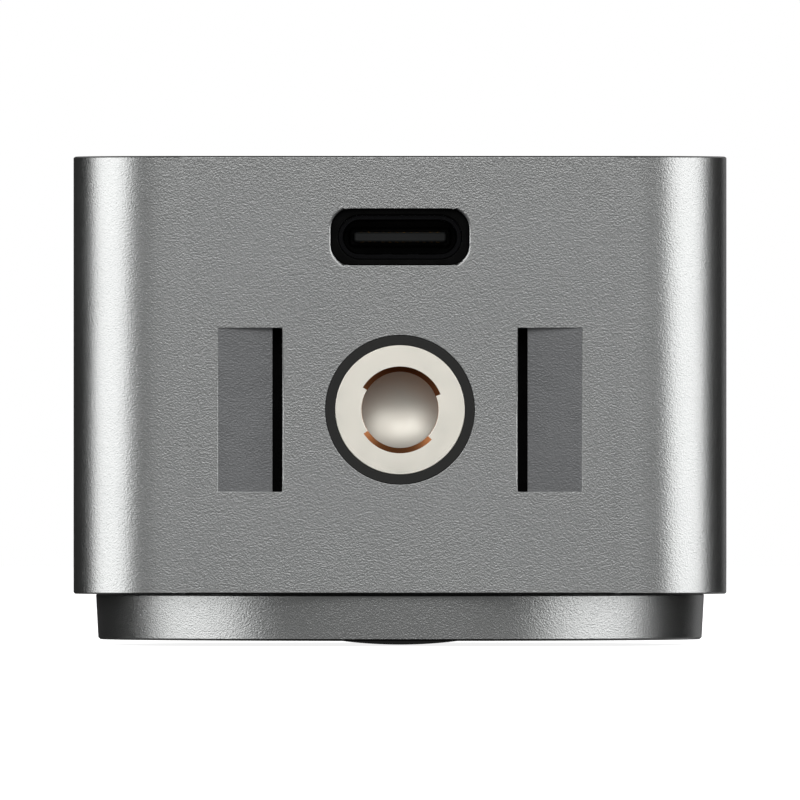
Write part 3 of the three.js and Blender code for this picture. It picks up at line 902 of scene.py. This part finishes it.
def buildInsert():
    mouth = -half
    centre = (0, 0, threadZ)
    bottom = mouth + insert["boreDepth"]
    dish = [(insert["major"] * i / 16, bottom - insert["dish"] * (i / 16) ** 2)
            for i in range(17)]
    sleeve = turnPiece("tripodInsert", [
        *dish, (insert["major"], mouth + insert["lip"]), (insert["crest"], mouth + insert["lip"]),
        (insert["crest"], mouth), (insert["radius"], mouth),
        (insert["radius"], retainerBack + 0.02), (insert["flange"], retainerBack + 0.02),
        (insert["flange"], insertHigh.y), (0, insertHigh.y),
    ], 160, "Y", centre)
    soften(sleeve, insert["edgeRound"])
    # the thread is a ridge wound round the bore, clear of the mouth
    deselectAll()
    bpy.ops.mesh.primitive_plane_add(size=mm)
    ridge = nameActive("ridge")
    foot, tip, root = insert["ridgeFoot"], insert["ridgeTip"], insert["major"] + 0.1
    section = [(root, -foot), (insert["crest"], -tip), (root, foot), (insert["crest"], tip)]
    start = mouth + insert["firstTurn"]
    for vert, (r, along) in zip(ridge.data.vertices, section):
        vert.co = Vector((r, start + along, 0)) * mm
    applyModifier(ridge, "SCREW", axis="Y", angle=2 * math.pi, screw_offset=insert["pitch"] * mm,
                  iterations=insert["turns"] - 1, steps=96, render_steps=96,
                  use_normal_calculate=True)
    editWhole(ridge)
    bpy.ops.transform.translate(value=(0, 0, threadZ * mm))
    bpy.ops.mesh.remove_doubles(threshold=1e-7)
    closeEnds()
    carve(sleeve, ridge, operation="UNION")
    carve(sleeve, *[addCrescent(*ends) for ends in insert["crescents"]])
    settle(sleeve, "camera", "nickel_brass", "tripod_insert",
           materials=(finishes["nickel_brass"], boreShadeFinish, dishFinish))
    # painted shade: the thread, bore and crescent walls get a dark brown that stands in for the
    # shade inside the threaded hole
    for face in sleeve.data.polygons:
        reach = math.hypot(face.center.x, face.center.z - threadZ * mm)
        if reach < (insert["major"] + 0.05) * mm and abs(face.normal.y) < 0.82:
            face.material_index = 1
        elif face.center.y > (bottom - insert["dish"] - 0.01) * mm and face.normal.y < 0:
            face.material_index = 2


def buildCollar():
    collar = turnPiece("insertCollar", [
        (insert["radius"] + 0.02, -half), (threadHigh.x, -half), (threadHigh.x, threadHigh.y),
        (insert["radius"] + 0.02, threadHigh.y),
    ], 160, "Y", (0, 0, threadZ))
    soften(collar, 0.02, 1)
    settle(collar, "camera", "collar_plastic", "insert_collar",
           materials=[finishes["collar_plastic"]])


buildInsert()
buildCollar()
print("tripod thread built")


# USB-C port.
port = {
    "length": 7.4,
    "shell": (8.94, 3.16, 1.57),    # width, height and corner radius
    "inside": (8.34, 2.56, 1.27),
    "tongue": (6.69, 0.7, 0.2),
    "root": (7.3, 1.3, 0.3),
    "core": (8.28, 2.5, 1.24),
    "gasketHole": (9.04, 3.26, 1.62),
    "tongueStart": 0.7,             # each of these is a distance in from the port's mouth
    "rootStart": 4.2,
    "coreStart": 5.2,
    "tongueEnd": 6,
    "contactReach": (1.2, 4.1),
    "contactWidth": 0.24,
    "contactPitch": 0.5,
    "contacts": 12,
    "dimpleReach": (0.8, 2.4),
    "dimpleWidth": 0.8,
    "dimpleRise": 0.13,
    "dimpleX": (-2.99, -0.95, 0.95, 2.99),
}
portBack = portMouth + port["length"]


def addSlotBlock(name, outline, y0, y1, segments=10):
    width, height, radius = outline
    block = addBlock(name, (-width / 2, y0, portZ - height / 2),
                     (width / 2, y1, portZ + height / 2))
    return roundEdges(block, runsAlong(1), radius, segments)


def buildPortShell():
    shell = addSlotBlock("usbShell", port["shell"], portMouth, portBack)
    carve(shell, addSlotBlock("inside", port["inside"], portMouth - 1, portBack + 1))
    low = portZ - port["inside"][1] / 2
    top = low + port["dimpleRise"]
    start, end = (portMouth + reach for reach in port["dimpleReach"])
    aside = port["dimpleWidth"] / 2
    for i, x in enumerate(port["dimpleX"]):
        dimple = addBlock(f"dimple{i}", (x - aside, start, low - 0.1), (x + aside, end, top))
        roundEdges(dimple, sharpIn(2, top), 0.12, 3)
        carve(shell, dimple, operation="UNION")
    soften(shell, 0.05, 2)
    settle(shell, "camera", "black_steel", "usb_c_shell", materials=[finishes["black_steel"]])


def buildPortTongue():
    end = portMouth + port["tongueEnd"]
    tongue = addSlotBlock("usbTongue", port["tongue"], portMouth + port["tongueStart"], end, 4)
    root = addSlotBlock("root", port["root"], portMouth + port["rootStart"], end, 4)
    core = addSlotBlock("core", port["core"], portMouth + port["coreStart"], portBack)
    carve(tongue, root, core, operation="UNION")
    soften(tongue, 0.1, 1)
    settle(tongue, "camera", "chip_plastic", "usb_c_tongue", materials=[tongueFinish])


# twelve gold strips on each face of the tongue
def buildPortContacts():
    side = port["tongue"][1] / 2
    first = -(port["contacts"] - 1) / 2 * port["contactPitch"]
    start, end = (portMouth + reach for reach in port["contactReach"])
    aside = port["contactWidth"] / 2
    strip = addBlock("contact", (first - aside, start, portZ + side - 0.02),
                     (first + aside, end, portZ + side + 0.004))
    strips = [strip] + [copyPiece(strip, "contact", (i * port["contactPitch"], 0, level))
                        for i in range(port["contacts"]) for level in (0, 0.016 - 2 * side)
                        if i or level]
    deselectAll()
    for piece in strips:
        piece.select_set(True)
    bpy.context.view_layer.objects.active = strip
    bpy.ops.object.join()
    contacts = nameActive("usbContacts")
    settle(contacts, "camera", "nickel_brass", materials=[goldFinish])


def buildPortGasket():
    outline = (portHigh.x * 2, portHigh.z - portLow.z, body["portCorner"] - 0.04)
    gasket = addSlotBlock("usbGasket", outline, portLow.y, portHigh.y)
    carve(gasket, addSlotBlock("inside", port["gasketHole"], portLow.y - 1, portHigh.y + 1))
    soften(gasket, 0.1, 3)
    settle(gasket, "camera", "black_silicone", "usb_c_gasket",
           materials=[finishes["black_silicone"]])


buildPortShell()
buildPortTongue()
buildPortContacts()
buildPortGasket()
print("USB-C port built")


# The CAD pieces that stay.
for row in frame["record"]["subparts"]:
    node = frame["nodes"][row["node"]]
    for materialSlot in node.material_slots:
        materialSlot.material = finishes[row["material_slot"]]
print("CAD pieces finished:", len(frame["nodes"]))
